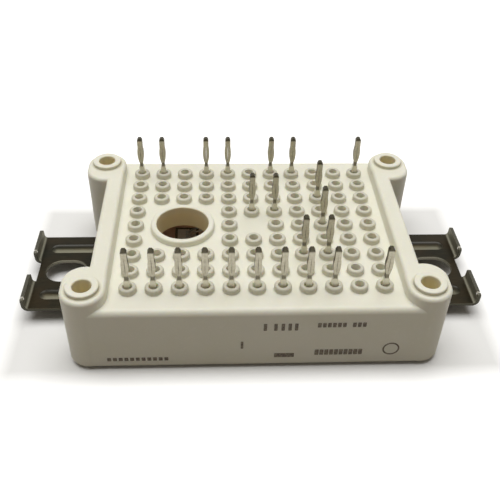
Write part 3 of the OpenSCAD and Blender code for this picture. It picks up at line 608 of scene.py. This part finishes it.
painted_tab_light = add(tree, "ShaderNodeMath", {"operation": "MULTIPLY"},
              {0: at_bend.outputs[0], 1: inner.outputs[0]})
painted_highlight = add(tree, "ShaderNodeMix", {"data_type": "RGBA", 6: srgb("#5A584C"), 7: srgb("#908D7D")},
             {0: painted_tab_light.outputs[0]})
steel = add(tree, "ShaderNodeMix", {"data_type": "RGBA"},
            {0: painted_sheen.outputs[0], 6: steel.outputs[2], 7: painted_highlight.outputs[2]})
# cut edges: faces that look along Y, upright faces short of the bend, and the tabs' top faces
# their lighter colour is partly bare sheared metal and partly painted highlight
short = add(tree, "ShaderNodeMath", {"operation": "LESS_THAN", 1: tab_face_x},
            {0: out.outputs[0]})
short = add(tree, "ShaderNodeMath", {"operation": "MULTIPLY"},
            {0: short.outputs[0], 1: level_part.outputs[0]})
high = add(tree, "ShaderNodeMath", {"operation": "GREATER_THAN", 1: clamp_high.z - 0.5 * MM},
           {0: spot[2]})
high = add(tree, "ShaderNodeMath", {"operation": "MULTIPLY"},
           {0: high.outputs[0], 1: upright_part.outputs[0]})
cut = add(tree, "ShaderNodeMath", {"operation": "MAXIMUM"}, {0: short.outputs[0], 1: high.outputs[0]})
cut = add(tree, "ShaderNodeMath", {"operation": "MAXIMUM"},
          {0: cut.outputs[0], 1: across_y.outputs[0]})
cut = add(tree, "ShaderNodeMapRange", {"From Min": 0.62, "From Max": 0.72}, {"Value": cut.outputs[0]})
# painted light: the slot's wall is painted brighter than the sheared edges outside
in_slot = add(tree, "ShaderNodeMath", {"operation": "LESS_THAN", 1: slot_half_width},
              {0: aside.outputs[0]})
in_slot = add(tree, "ShaderNodeMath", {"operation": "SUBTRACT"},
              {0: in_slot.outputs[0], 1: at_bend.outputs[0]})
cut_edge_and_slot_light = add(tree, "ShaderNodeMix", {"data_type": "RGBA", 6: srgb("#504E44"), 7: srgb("#878476")},
           {0: in_slot.outputs[0]})
steel = add(tree, "ShaderNodeMix", {"data_type": "RGBA"},
            {0: cut.outputs[0], 6: steel.outputs[2], 7: cut_edge_and_slot_light.outputs[2]})
# painted glint: the nick of each tab is painted near-white and not metallic
in_nicks = [add(tree, "ShaderNodeMath", {"operation": "COMPARE", 1: nick_y, 2: nick_half_width},
                {0: spot[1]}).outputs[0] for nick_y in nicks_y]
painted_glint_mask = add(tree, "ShaderNodeMath", {"operation": "MAXIMUM"}, {0: in_nicks[0], 1: in_nicks[1]})
top_zone = add(tree, "ShaderNodeMath", {"operation": "GREATER_THAN", 1: clamp_high.z - nick_depth},
               {0: spot[2]})
painted_glint_mask = add(tree, "ShaderNodeMath", {"operation": "MULTIPLY"},
              {0: painted_glint_mask.outputs[0], 1: top_zone.outputs[0]})
steel = add(tree, "ShaderNodeMix", {"data_type": "RGBA", 7: srgb("#F2F0E8")},
            {0: painted_glint_mask.outputs[0], 6: steel.outputs[2]})
off_glint = add(tree, "ShaderNodeMath", {"operation": "SUBTRACT", 0: 1}, {1: painted_glint_mask.outputs[0]})
tree.links.new(off_glint.outputs[0], shader.inputs["Metallic"])
tree.links.new(steel.outputs[2], shader.inputs["Base Color"])
oiled = add(tree, "ShaderNodeMapRange",
            {"From Min": 0.3, "From Max": 0.7, "To Min": 0.28, "To Max": 0.4},
            {"Value": oil.outputs[0]})
sheen_softening = add(tree, "ShaderNodeMath", {"operation": "MULTIPLY", 1: 0.6}, {0: painted_sheen.outputs[0]})
rough = add(tree, "ShaderNodeMath", {"operation": "MAXIMUM"},
            {0: oiled.outputs[0], 1: sheen_softening.outputs[0]})
tree.links.new(rough.outputs[0], shader.inputs["Roughness"])
scored = add(tree, "ShaderNodeBump", {"Strength": 0.2, "Distance": 0.004 * MM},
             {"Height": rolled.outputs[0], "Normal": rounded.outputs[0]})
tree.links.new(scored.outputs[0], shader.inputs["Normal"])
finish_nodes(["clamp_left", "clamp_right"], blackened)

# ---- Studio: floor, lamps and world
# A pale floor that throws little light back, one wide lamp over the object and a dim room. The card
# glows a little round the object and not under it.


def show_white(tree, white, plain):
    """Joins two shaders: camera, mirror and glass rays meet the white one, other rays the plain one."""
    rays = add(tree, "ShaderNodeLightPath").outputs
    seen = add(tree, "ShaderNodeMath", {"operation": "MAXIMUM"},
               {0: rays["Is Camera Ray"], 1: rays["Is Glossy Ray"]})
    seen = add(tree, "ShaderNodeMath", {"operation": "MAXIMUM"},
               {0: seen.outputs[0], 1: rays["Is Transmission Ray"]})
    joined = add(tree, "ShaderNodeMixShader", links={0: seen.outputs[0], 1: plain, 2: white})
    return joined.outputs[0]


floor_half = 1.5
floor_gap = 0.02 * MM
shape = bmesh.new()
bmesh.ops.create_grid(shape, x_segments=1, y_segments=1, size=floor_half)
bmesh.ops.translate(shape, vec=(0, 0, cad_box[0].z - floor_gap), verts=shape.verts)
floor = new_piece("floor", shape)

# Matt white card: plain and shadow-catching, with no gloss of its own
paper = bpy.data.materials.new("matt_white_card")
paper.use_nodes = True
tree = paper.node_tree
tree.nodes.clear()
card = add(tree, "ShaderNodeBsdfDiffuse", {"Color": srgb("#F2F2F0")})
place = add(tree, "ShaderNodeTexCoord").outputs["Object"]
# how far a point of the card lies outside the object's box
mirrored = add(tree, "ShaderNodeVectorMath", {"operation": "ABSOLUTE"}, {0: place})
beyond = add(tree, "ShaderNodeVectorMath", {"operation": "SUBTRACT", 1: cad_box[1]},
             {0: mirrored.outputs[0]})
beyond = add(tree, "ShaderNodeVectorMath", {"operation": "MAXIMUM"}, {0: beyond.outputs[0]})
beyond = add(tree, "ShaderNodeVectorMath", {"operation": "LENGTH"}, {0: beyond.outputs[0]})
open_card = add(tree, "ShaderNodeMapRange", {"From Max": 3 * MM, "To Max": 0.42},
                {"Value": beyond.outputs["Value"]})
far_card = add(tree, "ShaderNodeMapRange",
               {"From Min": 80 * MM, "From Max": 400 * MM, "To Max": 0.6},
               {"Value": beyond.outputs["Value"]})
shining = add(tree, "ShaderNodeMath", {"operation": "ADD"},
              {0: open_card.outputs[0], 1: far_card.outputs[0]})
glow = add(tree, "ShaderNodeEmission", links={"Strength": shining.outputs[0]})
white = add(tree, "ShaderNodeAddShader", links={0: card.outputs[0], 1: glow.outputs[0]})
plain = add(tree, "ShaderNodeBsdfDiffuse", {"Color": srgb("#968E84")})
joined = show_white(tree, white.outputs[0], plain.outputs[0])
add(tree, "ShaderNodeOutputMaterial", links={"Surface": joined})
floor.data.materials.append(paper)

world = bpy.data.worlds.new("room")
bpy.context.scene.world = world
world.use_nodes = True
tree = world.node_tree
tree.nodes.clear()
white = add(tree, "ShaderNodeBackground", {"Color": (1, 1, 1, 1), "Strength": 1})
dim = add(tree, "ShaderNodeBackground", {"Color": srgb("#B5ADA2"), "Strength": 0.31})
joined = show_white(tree, white.outputs[0], dim.outputs[0])
add(tree, "ShaderNodeOutputWorld", links={"Surface": joined})


# one wide lamp, half a metre up, that faces the middle of the object
lamp_place = Vector((-0.02, 0.06, 0.5))
lamp = bpy.data.objects.new("overhead_lamp", bpy.data.lights.new("overhead_lamp", "AREA"))
bpy.context.scene.collection.objects.link(lamp)
lamp.data.shape = "RECTANGLE"
lamp.data.size = 0.5
lamp.data.size_y = 0.4
lamp.data.energy = 2.48
lamp.location = lamp_place
lamp.rotation_mode = "QUATERNION"
box_middle = (cad_box[0] + cad_box[1]) / 2
lamp.rotation_quaternion = (lamp_place - box_middle).to_track_quat("Z", "Y")

bpy.context.scene.view_settings.view_transform = "Standard"
